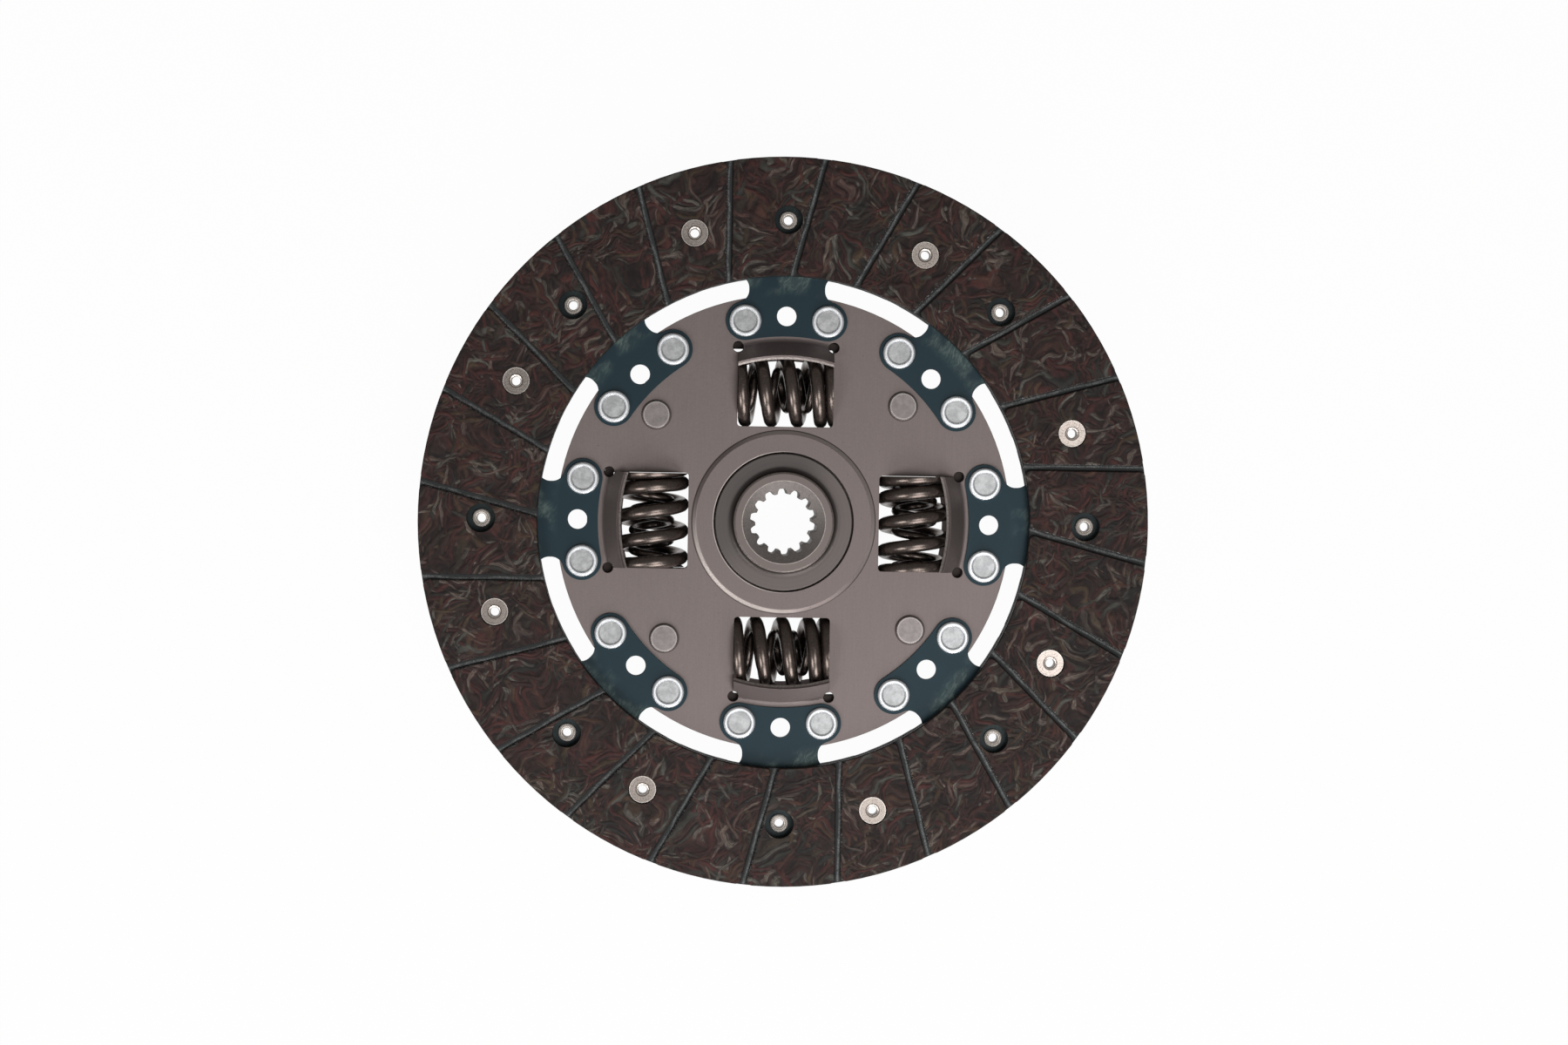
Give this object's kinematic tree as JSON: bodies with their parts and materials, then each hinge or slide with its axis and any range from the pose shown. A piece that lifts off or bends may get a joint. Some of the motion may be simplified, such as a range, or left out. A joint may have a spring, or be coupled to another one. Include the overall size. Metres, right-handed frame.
{
  "type": "clutch disc",
  "caption": "Dry clutch disc: riveted grooved friction facings on wavy cushion segments, sprung torsion damper and splined hub.",
  "frame": {"origin": "on the hub's axis, halfway between the two friction faces", "axes": "+Z along the hub axis towards the flywheel side (the side in the picture), -Z towards the gearbox, where the long end of the hub is; +X through the middle of one spring window and of the cushion segment beyond it"},
  "size_m": [0.215, 0.215, 0.0247],
  "materials": {
    "friction_facing": "matte",
    "plate_steel": "satin",
    "hub_steel": "satin",
    "blued_steel": "satin",
    "zinc_plate": "satin",
    "facing_rivet_steel": "satin",
    "pin_steel": "satin",
    "spring_steel": "satin",
    "washer_steel": "satin",
    "washer_plastic": "matte"
  },
  "bodies": {
    "hub": {"hub": "hub_steel"},
    "disc": {"front_plate": "plate_steel", "rear_plate": "plate_steel", "front_facing": "friction_facing", "rear_facing": "friction_facing", "front_facing_rivets": "facing_rivet_steel", "rear_facing_rivets": "facing_rivet_steel", "segment_rivets": "zinc_plate", "stop_pins": "pin_steel", "front_friction_washer": "washer_plastic", "rear_friction_washer": "washer_plastic", "support_washer": "washer_steel", "cup_spring": "washer_steel", "centring_bush": "washer_plastic", "cushion_segment_1": "blued_steel", "cushion_segment_2": "blued_steel", "cushion_segment_3": "blued_steel", "cushion_segment_4": "blued_steel", "cushion_segment_5": "blued_steel", "cushion_segment_6": "blued_steel", "cushion_segment_7": "blued_steel", "cushion_segment_8": "blued_steel"},
    "damper_springs": {"outer_spring_1": "spring_steel", "outer_spring_2": "spring_steel", "outer_spring_3": "spring_steel", "outer_spring_4": "spring_steel", "inner_spring_1": "spring_steel", "inner_spring_2": "spring_steel", "inner_spring_3": "spring_steel", "inner_spring_4": "spring_steel"}
  },
  "joints": [
    {"name": "damper_twist", "type": "hinge", "parent": "hub", "child": "disc", "pos_m": [0, 0, 0], "axis": [0, 0, 1], "range_deg": [-8, 8], "stiffness_Nm_per_rad": 600, "deforming": ["outer_spring_1", "outer_spring_2", "outer_spring_3", "outer_spring_4", "inner_spring_1", "inner_spring_2", "inner_spring_3", "inner_spring_4"]},
    {"name": "spring_shift", "type": "hinge", "parent": "hub", "child": "damper_springs", "pos_m": [0, 0, 0], "axis": [0, 0, 1], "range_deg": [-4, 4], "deforming": ["outer_spring_1", "outer_spring_2", "outer_spring_3", "outer_spring_4", "inner_spring_1", "inner_spring_2", "inner_spring_3", "inner_spring_4"]}
  ],
  "couplings": [
    {"joint": "spring_shift", "follows": "damper_twist", "ratio": 0.5}
  ]
}
